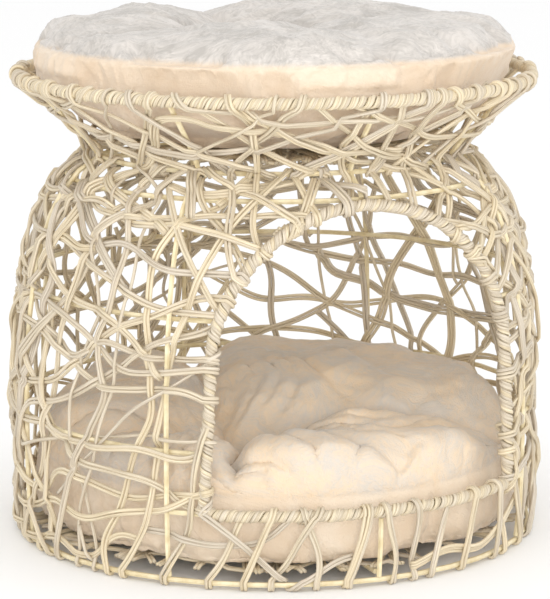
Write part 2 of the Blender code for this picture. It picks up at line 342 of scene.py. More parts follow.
wall_line = np.concatenate(
    [[BASE_RING], bezier_points(WALL_LOW, 40), bezier_points(WALL_HIGH, 60)[1:], [NECK_RING]]
)
bowl_line = np.concatenate([[NECK_RING], bezier_points(BOWL, 40), [RIM_RING]])
WALL = Chart(wall_line)
BOWL_WALL = Chart(bowl_line)
THROUGH = Chart(smoothed(np.concatenate([wall_line, bowl_line[1:]]), 0.030))
NECK_S = WALL.length


def door_half_width(z):
    """Half the width of the door opening at a height, or a negative number above or below it."""
    if z < SILL_HEIGHT or z > ARCH_HEIGHT + ARCH_RADIUS:
        return -1.0
    if z > ARCH_HEIGHT:
        return math.sqrt(ARCH_RADIUS**2 - (z - ARCH_HEIGHT) ** 2)
    lean = (z - SILL_HEIGHT) / (ARCH_HEIGHT - SILL_HEIGHT)
    return SILL_HALF_WIDTH + lean * (ARCH_RADIUS - SILL_HALF_WIDTH)


def in_door(azimuth, s):
    """Whether a place on the wall is inside the door's outline."""
    radius, z = WALL.spot(s)
    x = radius * math.sin(azimuth)
    return math.cos(azimuth) > 0 and abs(x) < door_half_width(z)


# ---------------------------------------------------------------- the woven runs

draw = random.Random(364)


class Run:
    """One bundle of strands side by side, as samples of azimuth, length along the profile, and height."""

    def __init__(self, chart):
        self.chart = chart
        self.members = draw.choices(MEMBERS[0], weights=MEMBERS[1])[0]
        self.azimuth, self.s, self.height, self.fixed, self.facing = [], [], [], [], []

    def add(self, azimuth, s, height=0.0, facing=None):
        """facing is given where the run turns round a wire: the way off it, as (across, along, out)."""
        self.azimuth.append(azimuth)
        self.s.append(s)
        self.height.append(height)
        self.fixed.append(facing is not None)
        self.facing.append(facing or (0.0, 0.0, 1.0))

    def reversed_start(self, other):
        """Puts another run's samples before this one's, last sample first."""
        for name in ("azimuth", "s", "height", "fixed", "facing"):
            setattr(self, name, getattr(other, name)[::-1] + getattr(self, name))


def turn_round(run, azimuth, s, into, radius, angles, slopes, drift):
    """Turns a run round a wire. into is the way off the wire into the weave, as (across, along)."""
    girth = float(run.chart.radius(s))
    first, last = angles
    reach = radius * abs(last - first)
    for i in range(TURN_STEPS + 1):
        share = i / TURN_STEPS
        angle = first + (last - first) * share
        ease = share * share * (3 - 2 * share)
        aside = ease * drift
        aside += share * (1 - share) ** 2 * reach * slopes[0]
        aside += share * share * (share - 1) * reach * slopes[1]
        off = radius * math.cos(angle)
        across = off * into[0] + aside * into[1]
        along = off * into[1] - aside * into[0]
        facing = (math.cos(angle) * into[0], math.cos(angle) * into[1], math.sin(angle))
        run.add(azimuth + across / girth, s + along, radius * math.sin(angle), facing)


class Wander:
    """A heading that keeps to its lean, sways about it, and now and then turns a corner."""

    def __init__(self, lean, sway, corners):
        self.lean = self.aim = lean
        self.sway, self.corners = sway, corners
        self.now, self.next, self.place = draw.gauss(0, sway), draw.gauss(0, sway), draw.random()

    def turn_to(self, lean):
        self.lean = self.aim = lean
        self.now = self.next = 0.0

    def step(self):
        self.place += STEP / SWAY_LENGTH
        if self.place >= 1.0:
            self.place -= 1.0
            self.now, self.next = self.next, draw.gauss(0, self.sway)
            if draw.random() < self.corners:
                self.aim += draw.choice((-1, 1)) * draw.uniform(0.7, 1.5)
        most = STEP / CORNER_RADIUS
        self.lean += max(-most, min(most, self.aim - self.lean))
        share = self.place * self.place * (3 - 2 * self.place)
        return self.lean + self.now + (self.next - self.now) * share


def door_edge(azimuth, s):
    """(azimuth, length, into) of the door's outline nearest to a place just inside it."""
    radius = float(WALL.radius(s))
    z = float(WALL.spot(s)[1])
    x = radius * math.sin(azimuth)
    side = 1.0 if x > 0 else -1.0
    to_side = door_half_width(z) - abs(x)
    to_sill = z - SILL_HEIGHT
    above = z > ARCH_HEIGHT
    if to_sill < to_side and not above:
        return azimuth, WALL.at_height(SILL_HEIGHT), (0.0, -1.0)
    if above:
        angle = math.atan2(z - ARCH_HEIGHT, x)
        x, z = ARCH_RADIUS * math.cos(angle), ARCH_HEIGHT + ARCH_RADIUS * math.sin(angle)
        s = WALL.at_height(z)
        return math.asin(x / float(WALL.radius(s))), s, (math.cos(angle), math.sin(angle))
    edge = side * math.asin(door_half_width(z) / radius)
    return edge, s, (side, 0.0)


def end_at_wire(run, azimuth, s, into, heading, wire_radius):
    """Ends a run at a bound wire: hooked over it from outside, or tucked in under its winding."""
    if draw.random() < TUCKED_IN:
        run.add(azimuth, s, 0.0)
        return
    velocity = (math.sin(heading), math.cos(heading))
    ahead = -(velocity[0] * into[0] + velocity[1] * into[1])
    beside = velocity[0] * into[1] - velocity[1] * into[0]
    slope = max(-1.3, min(1.3, beside / max(0.3, ahead)))
    last = draw.uniform(1.25, 1.95) * math.pi
    drift = wire_radius * (last - math.pi / 2) * slope * 0.5
    turn_round(run, azimuth, s, into, wire_radius, (math.pi / 2, last), (slope, slope * 0.5), drift)


def walk(run, azimuth, s, wander, longest, low="loop", high="loop"):
    """Lays a run over the surface, turning back round the rings, until it meets an edge or is long enough."""
    chart = run.chart
    length = 0.0
    while length < longest:
        run.add(azimuth, s)
        length += STEP
        heading = wander.step()
        radius = float(chart.radius(s))
        azimuth += STEP * math.sin(heading) / radius
        s += STEP * math.cos(heading)
        if chart is not BOWL_WALL and s < NECK_S and in_door(azimuth, s):
            edge_azimuth, edge_s, into = door_edge(azimuth, s)
            end_at_wire(run, edge_azimuth, edge_s, into, heading, HOOK_RADIUS)
            return
        side = -1 if s < STEP * 0.6 else 1 if s > chart.length - STEP * 0.6 else 0
        if side == 0:
            continue
        end_s = 0.0 if side < 0 else chart.length
        if (low if side < 0 else high) == "hook":
            end_at_wire(run, azimuth, end_s, (0.0, -side), heading, HOOK_RADIUS)
            return
        into = (0.0, -side)
        # How far the run leans along the ring, counted the way that into is turned.
        beside_in = math.sin(heading) * into[1] / max(0.3, abs(math.cos(heading)))
        beside_in = max(-1.5, min(1.5, beside_in))
        leaving = draw.uniform(-0.9, 0.9)
        beside_out = math.tan(leaving)
        reach = math.pi * LOOP_RADIUS
        drift = 0.35 * reach * (beside_in + beside_out) + draw.uniform(-0.002, 0.002)
        from_outside = draw.random() < TURNED_FROM_OUTSIDE
        angles = (math.pi / 2, math.pi * 1.5) if from_outside else (math.pi * 1.5, math.pi / 2)
        turn_round(run, azimuth, end_s, into, LOOP_RADIUS, angles, (beside_in, beside_out), drift)
        azimuth = run.azimuth[-1]
        s = end_s - side * STEP
        away = (math.sin(leaving) * into[1], math.cos(leaving) * into[1])
        wander.turn_to(math.atan2(away[0], away[1]))
        if length > longest * 0.8:
            for _ in range(draw.randint(6, 16)):
                run.add(azimuth, s)
                heading = wander.step()
                azimuth += STEP * math.sin(heading) / float(chart.radius(s))
                s += STEP * math.cos(heading)
            return


class Coverage:
    """Where runs already lie, and which way, so that a new run can be picked that lies where they don't."""

    def __init__(self):
        self.cells = {}

    def places(self, run):
        x, s = in_metres(run)
        turn = np.arctan2(np.diff(x), np.diff(s)) % math.pi
        way = np.round(turn / (math.pi / 4)).astype(int) % 4
        column = np.floor(x[1:] % (math.tau * UNROLL_RADIUS) / COVER_CELL).astype(int)
        row = np.floor(s[1:] / COVER_CELL).astype(int)
        return list(zip(column.tolist(), row.tolist(), way.tolist()))

    def crowding(self, run):
        places = self.places(run)
        return sum(self.cells.get(place, 0.0) for place in places) / len(places)

    def add(self, run):
        for column, row, way in self.places(run):
            for shift_x, shift_s in ((0, 0), (1, 0), (-1, 0), (0, 1), (0, -1)):
                key = (column + shift_x, row + shift_s, way)
                self.cells[key] = self.cells.get(key, 0.0) + 1.0

    def best(self, make, *given):
        """The least crowded of several tries at a run."""
        tries = [make(*given) for _ in range(TRIES)]
        tries = [run for run in tries if len(run.s) > FEWEST_SAMPLES]
        if not tries:
            return []
        chosen = min(tries, key=self.crowding)
        self.add(chosen)
        return [chosen]


def hooked_start(chart, azimuth, s, into, drift):
    """The hook that a run begins with, round a bound wire, or nothing where it is tucked in."""
    start = Run(chart)
    if draw.random() < HOOKED_START:
        angles = (math.pi / 2, draw.uniform(1.25, 1.9) * math.pi)
        turn_round(start, azimuth, s, into, HOOK_RADIUS, angles, (0, 0), drift)
    return start


def upright_run(i):
    """A run that climbs the wall from the base ring. It may go on up over the bowl."""
    through = draw.random() < THROUGH_SHARE
    run = Run(THROUGH if through else WALL)
    azimuth = math.tau * (i + draw.uniform(-0.45, 0.45)) / UPRIGHTS
    start = Run(run.chart)
    turn_round(start, azimuth, 0.0, (0.0, 1.0), LOOP_RADIUS, (math.pi / 2, math.pi * 1.3), (0, 0), 0.0)
    wander = Wander(draw.gauss(0.0, 0.26), UPRIGHT_SWAY, 0.02)
    walk(run, azimuth, STEP, wander, draw.uniform(0.38, 1.1), "loop", "hook" if through else "loop")
    run.reversed_start(start)
    return run


def arch_run(i):
    """A run that climbs from the door's arch."""
    x = ARCH_RADIUS * 0.93 * (2 * (i + draw.uniform(0.1, 0.9)) / ARCH_UPRIGHTS - 1)
    angle = math.acos(x / ARCH_RADIUS)
    through = draw.random() < THROUGH_SHARE
    run = Run(THROUGH if through else WALL)
    into = (math.cos(angle), math.sin(angle))
    s = WALL.at_height(ARCH_HEIGHT + ARCH_RADIUS * math.sin(angle))
    radius = float(WALL.radius(s))
    azimuth = math.asin(x / radius)
    start = hooked_start(run.chart, azimuth, s, into, draw.uniform(-0.006, 0.006))
    lean = 0.5 * math.atan2(into[0], into[1]) + draw.gauss(0.0, 0.3)
    azimuth += 0.004 * into[0] / radius
    wander = Wander(lean, UPRIGHT_SWAY, 0.02)
    end = "hook" if through else "loop"
    walk(run, azimuth, s + 0.004 * into[1], wander, draw.uniform(0.3, 0.9), "loop", end)
    run.reversed_start(start)
    return run


def round_run(row, side):
    """A run that goes round the wall in a row, out from the door's edge if the row meets the door."""
    s = (row + 0.5 + draw.uniform(-0.4, 0.4)) * ROW_STEP + 0.006
    z = float(WALL.spot(s)[1])
    half = door_half_width(z)
    run = Run(WALL)
    start = Run(WALL)
    azimuth = draw.uniform(0, math.tau)
    if half > 0:
        radius = float(WALL.radius(s))
        azimuth = side * math.asin(half / radius)
        lift = 0.0 if z < ARCH_HEIGHT else math.asin((z - ARCH_HEIGHT) / ARCH_RADIUS)
        start = hooked_start(WALL, azimuth, s, (side * math.cos(lift), math.sin(lift)), 0.004 * side)
        azimuth += side * 0.004 / radius
    lean = side * math.pi / 2 + draw.gauss(0.0, 0.16)
    walk(run, azimuth, s, Wander(lean, ROUND_SWAY, 0.012), draw.uniform(0.5, 1.0))
    run.reversed_start(start)
    return run


def slant_run():
    run = Run(WALL)
    lean = draw.choice((-1, 1)) * draw.uniform(0.5, 1.15) + draw.choice((0.0, math.pi))
    azimuth = draw.uniform(0.75, math.tau - 0.75)
    s = draw.uniform(0.02, NECK_S - 0.02)
    walk(run, azimuth, s, Wander(lean, 0.22, 0.04), draw.uniform(0.25, 0.8))
    return run


def swooping_run(i):
    """A run that hangs from the rim in a long curve over the bowl's wall."""
    run = Run(BOWL_WALL)
    side = draw.choice((-1, 1))
    heading = math.pi + side * math.asin(draw.uniform(*SWOOP_SLANT))
    azimuth = math.tau * (i + draw.uniform(-0.45, 0.45)) / SWOOPS
    length = BOWL_WALL.length
    start = hooked_start(BOWL_WALL, azimuth, length, (0.0, -1.0), -0.004 * side)
    s = length - STEP
    sway = Wander(0.0, 0.10, 0.0)
    travelled = 0.0
    while 0.0 < s < length - STEP * 0.5 and travelled < 0.62:
        run.add(azimuth, s)
        radius = float(BOWL_WALL.radius(s))
        heading -= STEP * float(BOWL_WALL.slope(s)) / radius * math.sin(heading)
        drift = heading + sway.step()
        azimuth += STEP * math.sin(drift) / radius
        s += STEP * math.cos(drift)
        travelled += STEP
    if s <= 0.0:
        angles = (math.pi / 2, math.pi * 1.4)
        turn_round(run, azimuth, 0.0, (0.0, 1.0), LOOP_RADIUS, angles, (0, 0), 0.004 * side)
    elif s >= length - STEP * 0.5:
        end_at_wire(run, azimuth, length, (0.0, -1.0), heading, HOOK_RADIUS)
    run.reversed_start(start)
    return run


def wall_runs():
    coverage = Coverage()
    runs = []
    for i in range(UPRIGHTS):
        runs += coverage.best(upright_run, i)
    for i in range(ARCH_UPRIGHTS):
        runs += coverage.best(arch_run, i)
    for row in range(int(WALL.length / ROW_STEP)):
        for side in (-1, 1):
            runs += coverage.best(round_run, row, side)
    for _ in range(SLANTS):
        runs += coverage.best(slant_run)
    return runs


def bowl_runs():
    coverage = Coverage()
    runs = []
    for i in range(SWOOPS):
        runs += coverage.best(swooping_run, i)
    return runs


def in_metres(run):
    """A run's samples unrolled: (distance round the wall, length along the profile)."""
    azimuth = np.array(run.azimuth)
    s = np.array(run.s) + (NECK_S if run.chart is BOWL_WALL else 0.0)
    return azimuth * UNROLL_RADIUS, s


def crossings(runs):
    """(run a, place on a, run b, place on b) for each place where two runs cross."""
    cell = 2 * STEP
    round_trip = math.tau * UNROLL_RADIUS
    grid, segments = {}, []
    for index, run in enumerate(runs):
        x, s = in_metres(run)
        for k in range(len(s) - 1):
            middle_x = (x[k] + x[k + 1]) / 2 % round_trip
            middle_s = (s[k] + s[k + 1]) / 2
            grid.setdefault((int(middle_x / cell), int(middle_s / cell)), []).append(len(segments))
            segments.append((index, k, middle_x, middle_s, x[k + 1] - x[k], s[k + 1] - s[k]))
    found = []
    for (column, row), members in grid.items():
        near = []
        for shift_x in (-1, 0, 1):
            for shift_s in (-1, 0, 1):
                near += grid.get((column + shift_x, row + shift_s), [])
        for first in members:
            a = segments[first]
            for second in near:
                b = segments[second]
                if second <= first or (a[0] == b[0] and abs(a[1] - b[1]) < 10):
                    continue
                determinant = a[4] * b[5] - a[5] * b[4]
                if abs(determinant) < 1e-12:
                    continue
                gap_x, gap_s = b[2] - a[2], b[3] - a[3]
                u = (gap_x * b[5] - gap_s * b[4]) / determinant
                v = (gap_x * a[5] - gap_s * a[4]) / determinant
                if abs(u) <= 0.5 and abs(v) <= 0.5:
                    found.append((a[0], a[1] + u + 0.5, b[0], b[1] + v + 0.5))
    return found


def wire_bounds(run):
    """(sample, least height, greatest height) wherever a run passes over or under a bare wire."""
    clear = WIRE_RADIUS + STRAND_RADIUS + 0.0001
    reach = clear + STRAND_PITCH / 2
    bounds = []
    azimuth, s = np.array(run.azimuth), np.array(run.s)
    radius = run.chart.radius(s)
    nearest = np.round(azimuth / RIB_STEP) * RIB_STEP
    passes = [(np.abs(azimuth - nearest) * radius, 0.0, OVER_RIB)]
    if run.chart is not BOWL_WALL:
        for z in HOOP_HEIGHTS.values():
            passes.append((np.abs(s - WALL.at_height(z)), -HOOP_INSET, OVER_HOOP))
    for distance, centre, share_over in passes:
        close = distance < reach
        start = 0
        while start < len(close):
            if not close[start]:
                start += 1
                continue
            stop = start
            while stop < len(close) and close[stop]:
                stop += 1
            over = draw.random() < share_over
            for k in range(start, stop):
                beside = max(0.0, distance[k] - STRAND_PITCH / 2)
                rise = math.sqrt(max(0.0, clear * clear - beside * beside))
                bounds.append((k, centre + rise, 1.0) if over else (k, -1.0, centre - rise))
            start = stop
    if run.chart is THROUGH:
        for k in np.nonzero(np.abs(s - NECK_S) < 0.012)[0]:
            bounds.append((k, 0.001, 1.0))
    return bounds


def weave_heights(runs):
    """Sets every run's height so that the runs pass over and under each other and the wires."""
    starts = np.cumsum([0] + [len(run.s) for run in runs])
    heights = np.concatenate([run.height for run in runs])
    held = np.concatenate([run.fixed for run in runs])
    last_sign, rows = {}, []
    for a, place_a, b, place_b in sorted(crossings(runs)):
        sign = -last_sign.get(a, draw.choice((-1, 1)))
        if draw.random() < SIDE_KEPT:
            sign = -sign
        last_sign[a], last_sign[b] = sign, -sign
        rows.append((starts[a] + place_a, starts[b] + place_b, sign))
    rows = np.array(rows)
    sign = rows[:, 2]
    first, second = rows[:, 0].astype(int), rows[:, 1].astype(int)
    bounds = [(starts[i] + k, low, high) for i, run in enumerate(runs) for k, low, high in wire_bounds(run)]
    bounds = np.array(bounds)
    bound_index = bounds[:, 0].astype(int)
    ends = np.zeros(len(heights), bool)
    ends[starts[:-1]] = True
    ends[starts[1:] - 1] = True
    movable = ~(held | ends)
    inner = np.nonzero(movable)[0]
    for _ in range(HEIGHT_ROUNDS):
        heights[inner] = 0.5 * heights[inner] + 0.2495 * (heights[inner - 1] + heights[inner + 1])
        push, count = np.zeros(len(heights)), np.zeros(len(heights))
        short = LAYER * 1.06 - sign * (heights[first] - heights[second])
        move = np.clip(short, 0.0, None) * sign * 0.5
        for index, amount in ((first, move), (second, -move)):
            for neighbour in (0, 1):
                np.add.at(push, index + neighbour, amount)
                np.add.at(count, index + neighbour, short > 0)
        value = heights[bound_index]
        fix = np.clip(bounds[:, 1] - value, 0, None) - np.clip(value - bounds[:, 2], 0, None)
        np.add.at(push, bound_index, 1.6 * fix)
        np.add.at(count, bound_index, fix != 0)
        touched = movable & (count > 0)
        heights[touched] += 0.9 * push[touched] / count[touched]
        heights = np.clip(heights, -LEAST_HEIGHT, MOST_HEIGHT)
    for i, run in enumerate(runs):
        run.height = heights[starts[i] : starts[i + 1]]


# ---------------------------------------------------------------- strand meshes


class StrandMesh:
    """Collects tubes, and turns them into one mesh with the attributes that the strand material reads."""

    def __init__(self):
        self.points, self.faces, self.grain, self.tone = [], [], [], []
        self.count = 0

    def add_tube(self, centre, across, outward, radius, tone):
        """A tube along centre. across and outward span its section at each point."""
        n = len(centre)
        angles = np.arange(SIDES) * math.tau / SIDES
        circle = np.cos(angles)[None, :, None] * across[:, None, :]
        circle = circle + np.sin(angles)[None, :, None] * outward[:, None, :]
        points = centre[:, None, :] + radius[:, None, None] * circle
        ring = np.arange(n)[:, None] * SIDES + np.arange(SIDES)[None, :] + self.count
        after = np.roll(ring, -1, axis=1)
        faces = np.stack([ring[:-1], after[:-1], after[1:], ring[1:]], axis=-1).reshape(-1, 4)
        self.points.append(points.reshape(-1, 3))
        self.faces += faces.tolist()
        self.faces += [ring[0, ::-1].tolist(), ring[-1].tolist()]
        length = np.concatenate(([0.0], np.cumsum(np.linalg.norm(np.diff(centre, axis=0), axis=1))))
        grain = np.zeros((n, SIDES, 3))
        grain[:, :, 0] = np.cos(angles)[None, :]
        grain[:, :, 1] = np.sin(angles)[None, :]
        grain[:, :, 2] = (length + tone * 7.3)[:, None]
        self.grain.append(grain.reshape(-1, 3))
        self.tone.append(np.full(n * SIDES, tone))
        self.count += n * SIDES

    def build(self, name, material):
        mesh = bpy.data.meshes.new(name)
        mesh.from_pydata(np.concatenate(self.points), [], self.faces)
        grain = mesh.attributes.new("grain", "FLOAT_VECTOR", "POINT")
        grain.data.foreach_set("vector", np.concatenate(self.grain).astype(np.float32).ravel())
        tone = mesh.attributes.new("tone", "FLOAT", "POINT")
        tone.data.foreach_set("value", np.concatenate(self.tone).astype(np.float32))
        mesh.shade_smooth()
        mesh.materials.append(material)
        obj = bpy.data.objects.new(name, mesh)
        bpy.context.scene.collection.objects.link(obj)
        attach(obj, "basket")
        return obj


def unit(vectors):
    return vectors / np.maximum(np.linalg.norm(vectors, axis=1), 1e-9)[:, None]


def wandering(count, reach, draws):
    """Smooth noise of about unit size, one value per sample."""
    knots = max(3, int(count / reach) + 2)
    values = [draws.gauss(0.0, 1.0) for _ in range(knots)]
    at = np.linspace(0, knots - 1, count)
    low = np.minimum(at.astype(int), knots - 2)
    share = at - low
    share = share * share * (3 - 2 * share)
    values = np.array(values)
    return values[low] + (values[low + 1] - values[low]) * share


def lay_run(run, target, draws):
    """Adds a run's strands, side by side, to a mesh."""
    azimuth, s, height = (np.array(values, float) for values in (run.azimuth, run.s, run.height))
    points, normals = run.chart.place(azimuth, s, height, np.array(run.facing))
    along = unit(np.gradient(points, axis=0))
    across = unit(np.cross(along, normals))
    outward = unit(np.cross(across, along))
    count = len(points)
    roll = ROLL * wandering(count, 16, draws)[:, None] * (1.0 - 0.7 * np.array(run.fixed)[:, None])
    side = np.cos(roll) * across + np.sin(roll) * outward
    face = np.cos(roll) * outward - np.sin(roll) * across
    tone = draws.random()
    for member in range(run.members):
        place = member - (run.members - 1) / 2
        spread = place * (1.0 + 0.10 * wandering(count, 12, draws))
        aside = (spread + 0.07 * wandering(count, 10, draws)) * STRAND_PITCH
        centre = points + aside[:, None] * side
        radius = STRAND_RADIUS * (1.0 + 0.06 * wandering(count, 8, draws))
        own_tone = min(1.0, max(0.0, tone + draws.gauss(0.0, 0.2)))
        target.add_tube(centre, side, face, radius, own_tone)


def weave(material):
    """The wall's and the bowl's strands, one piece for each woven panel of the frame."""
    draws = random.Random(71)
    runs = wall_runs()
    hanging = bowl_runs()
    weave_heights(runs + hanging)
    panels = {}
    for run in runs + hanging:
        middle = run.azimuth[len(run.azimuth) // 2] % math.tau
        if run.chart is BOWL_WALL:
            panel = "bowl_" + NAMES_OF_FOUR[int(middle / RIB_STEP / 2)]
        else:
            panel = "wall_" + NAMES_OF_EIGHT[int(middle / RIB_STEP)]
        panels.setdefault(panel, []).append(run)
    for panel, members in sorted(panels.items()):
        mesh = StrandMesh()
        for run in members:
            lay_run(run, mesh, draws)
        where, side = panel.split("_", 1)
        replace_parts(mesh.build(f"{where}_strands_{side}", material), f"{where}_weave_{side}")


# ---------------------------------------------------------------- floors


def floor_strands(name, node, count, material, seed):
    """Strands laid straight across a round floor in every direction, over and under each other."""
    draws = random.Random(seed)
    low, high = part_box(node)
    radius, z = high.x, (low.z + high.z) / 2
    mesh = StrandMesh()
    for i in range(count):
        turn = math.pi * (i + draws.random()) / count * 5
        offset = radius * 0.93 * draws.uniform(-1, 1) * draws.uniform(0.3, 1.0)
        half = math.sqrt(radius * radius - offset * offset)
        steps = max(4, int(2 * half / 0.008))
        u = np.linspace(-half, half, steps)
        bow = 0.006 * wandering(steps, 9, draws)
        lift = FLOOR_WAVE * np.clip(wandering(steps, 3.2, draws), -1.0, 1.0)
        away = np.array([math.cos(turn), math.sin(turn), 0.0])
        aside = np.array([-math.sin(turn), math.cos(turn), 0.0])
        centre = u[:, None] * away + (offset + bow)[:, None] * aside
        centre[:, 2] = z + lift
        centre[0, 2] = centre[-1, 2] = z
        along = unit(np.gradient(centre, axis=0))
        upward = np.tile([0.0, 0.0, 1.0], (steps, 1))
        across = unit(np.cross(along, upward))
        face = unit(np.cross(across, along))
        tone = draws.random()
        for member in range(FLOOR_MEMBERS):
            place = (member - (FLOOR_MEMBERS - 1) / 2) * STRAND_PITCH
            side = np.full(steps, STRAND_RADIUS)
            mesh.add_tube(centre + place * across, across, face, side, min(1.0, tone + 0.2 * member))
    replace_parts(mesh.build(name, material), node)


def floors(material):
    for room, count, seed in FLOORS:
        floor_strands(f"{room}_floor_strands", f"{room}_floor_weave", count, material, seed)


# ---------------------------------------------------------------- bindings


def wind(path, outward_hint, name, material, replaced, seed):
    """Strands wound in a close spiral round a wire."""
    draws = random.Random(seed)
    lengths = np.concatenate(([0.0], np.cumsum(np.linalg.norm(np.diff(path, axis=0), axis=1))))
    total = lengths[-1]
    count = int(total / WINDING_LEAD * 16)
    at = np.linspace(0.0, total, count)
    middle = np.stack([np.interp(at, lengths, path[:, axis]) for axis in range(3)], axis=1)
    along = unit(np.gradient(middle, axis=0))
    hint = np.stack([np.interp(at, lengths, outward_hint[:, axis]) for axis in range(3)], axis=1)
    across = unit(np.cross(along, hint))
    up = unit(np.cross(across, along))
    mesh = StrandMesh()
    shared = 0.45 * wandering(count, 40, draws)
    for start in range(WINDING_STARTS):
        phase = math.tau * (start / WINDING_STARTS + at / WINDING_LEAD) + shared
        phase += 0.16 * wandering(count, 14, draws) + (0.12 if start % 2 else -0.12)
        lift = WIRE_RADIUS + STRAND_RADIUS + 0.00035 * wandering(count, 9, draws)
        lift += 0.0006 * np.clip(wandering(count, 22, draws), 0.0, 1.5)
        radial = np.cos(phase)[:, None] * across + np.sin(phase)[:, None] * up
        centre = middle + lift[:, None] * radial
        direction = unit(np.gradient(centre, axis=0))
        sideways = unit(np.cross(direction, radial))
        tone = min(1.0, max(0.0, 0.6 + draws.gauss(0.0, 0.28)))
        radius = STRAND_RADIUS * (1.02 + 0.05 * wandering(count, 12, draws))
        mesh.add_tube(centre, 1.12 * sideways, 0.78 * radial, radius, tone)
    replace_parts(mesh.build(name, material), *replaced)


def bindings(material):
    flat = np.array([1.0, 1.0, 0.0])
    azimuth = np.linspace(math.pi, -math.pi, 500)
    rim = np.stack(
        [RIM_RING[0] * np.sin(azimuth), -RIM_RING[0] * np.cos(azimuth), np.full(500, RIM_RING[1])], axis=1
    )
    wind(rim, rim * flat, "rim_winding", material, ["rim_binding"], 11)

    outline = []
    for z in np.linspace(SILL_HEIGHT + 0.004, ARCH_HEIGHT, 30)[:-1]:
        outline.append((-door_half_width(z), z))
    for angle in np.linspace(math.pi, 0.0, 90):
        outline.append((ARCH_RADIUS * math.cos(angle), ARCH_HEIGHT + ARCH_RADIUS * math.sin(angle)))
    for z in np.linspace(ARCH_HEIGHT, SILL_HEIGHT + 0.004, 30)[1:]:
        outline.append((door_half_width(z), z))
    radii = [float(WALL.radius(WALL.at_height(z))) for _, z in outline]
    arch = np.array([(x, -math.sqrt(r * r - x * x), z) for (x, z), r in zip(outline, radii)])
    wind(arch, arch * flat, "arch_winding", material, ["arch_binding"], 12)

    radius = float(WALL.radius(WALL.at_height(SILL_HEIGHT)))
    reach = math.asin(SILL_HALF_WIDTH / radius)
    azimuth = np.linspace(-reach, reach, 160)
    sill = np.stack([radius * np.sin(azimuth), -radius * np.cos(azimuth), np.full(160, SILL_HEIGHT)], axis=1)
    wind(sill, sill * flat, "sill_winding", material, ["sill_binding"], 13)


# ---------------------------------------------------------------- cushions


def distance_to_path(x, y, path):
    """(distance, share of the way along) from places to a path of (x, y) points."""
    best = np.full(len(x), 1e9)
    share = np.zeros(len(x))
    lengths = [math.dist(a, b) for a, b in zip(path, path[1:])]
    done = 0.0
    for a, b, length in zip(path, path[1:], lengths):
        t = ((x - a[0]) * (b[0] - a[0]) + (y - a[1]) * (b[1] - a[1])) / length**2
        t = np.clip(t, 0.0, 1.0)
        distance = np.hypot(x - a[0] - t * (b[0] - a[0]), y - a[1] - t * (b[1] - a[1]))
        nearer = distance < best
        best = np.where(nearer, distance, best)
        share = np.where(nearer, (done + t * length) / sum(lengths), share)
        done += length
    return best, share


def tufted_rise(x, y, options):
    """How far the top panel rises or falls at places: puffed lobes between creases that meet in a tuft."""
    edge = 1.0 - np.hypot(x, y) / options["seam_radius"]
    fade = np.clip(edge / 0.16, 0.0, 1.0)
    centre = options["tuft"]
    from_tuft = np.hypot(x - centre[0], y - centre[1])
    change = -options["tuft_depth"] * np.exp(-((from_tuft / options["tuft_reach"]) ** 1.6))
    nearest = from_tuft.copy()
    for depth, end_depth, width, path in options["creases"]:
        distance, share = distance_to_path(x, y, (centre, *path))
        nearest = np.minimum(nearest, distance * (1.0 + 0.6 * share))
        deep = depth + (end_depth - depth) * share
        change -= deep * np.exp(-((distance / width) ** 1.15)) * np.clip(edge / 0.06, 0.0, 1.0)
    change += options["lobe"] * (1.0 - np.exp(-((nearest / options["lobe_reach"]) ** 2))) * fade
    azimuth = np.arctan2(x - centre[0], y - centre[1])
    bend = 9.0 * noise_field(np.stack([x, y, 0 * x], 1), 9, 4.0)
    pleats = np.abs(np.sin(azimuth * options["pleats"] / 2 + bend))
    starting = np.clip((from_tuft - 0.01) / 0.03, 0.0, 1.0)
    ending = np.clip(1.0 - from_tuft / options["pleat_reach"], 0.0, 1.0)
    change -= options["pleat_depth"] * (1.0 - pleats) ** 2 * (starting * ending)
    return change


def cushion_form(name, profile, options):
    """A closed mesh turned from a profile of (radius, height), with the tufted top worked in."""
    bm = bmesh.new()
    rings = []
    for radius, z in profile:
        if radius < 1e-6:
            rings.append([bm.verts.new((0.0, 0.0, z))])
            continue
        ring = []
        for i in range(FORM_SIDES):
            turn = math.tau * i / FORM_SIDES
            ring.append(bm.verts.new((radius * math.sin(turn), -radius * math.cos(turn), z)))
        rings.append(ring)
    for low, high in zip(rings, rings[1:]):
        for i in range(FORM_SIDES):
            j = (i + 1) % FORM_SIDES
            corners = [low[i % len(low)], low[j % len(low)], high[j % len(high)], high[i % len(high)]]
            face = list(dict.fromkeys(corners))
            bm.faces.new(face)
    mesh = bpy.data.meshes.new(name)
    bm.to_mesh(mesh)
    bm.free()
    obj = bpy.data.objects.new(name, mesh)
    bpy.context.scene.collection.objects.link(obj)
    remesh = obj.modifiers.new("remesh", "REMESH")
    remesh.mode = "VOXEL"
    remesh.voxel_size = VOXEL
    remesh.use_smooth_shade = True
    bake_modifiers(obj)
    points = coordinates(obj.data)
    top = np.clip((points[:, 2] - options["seam"]) / 0.012, 0.0, 1.0)
    points[:, 2] += top * tufted_rise(points[:, 0], points[:, 1], options)
    set_coordinates(obj.data, points)
    return obj


def coordinates(mesh):
    values = np.empty(len(mesh.vertices) * 3, np.float32)
    mesh.vertices.foreach_get("co", values)
    return values.reshape(-1, 3).astype(float)


def normals_of(mesh):
    values = np.empty(len(mesh.vertices) * 3, np.float32)
    mesh.vertex_normals.foreach_get("vector", values)
    return values.reshape(-1, 3).astype(float)


def set_coordinates(mesh, points):
    mesh.vertices.foreach_set("co", points.astype(np.float32).ravel())
    mesh.update()


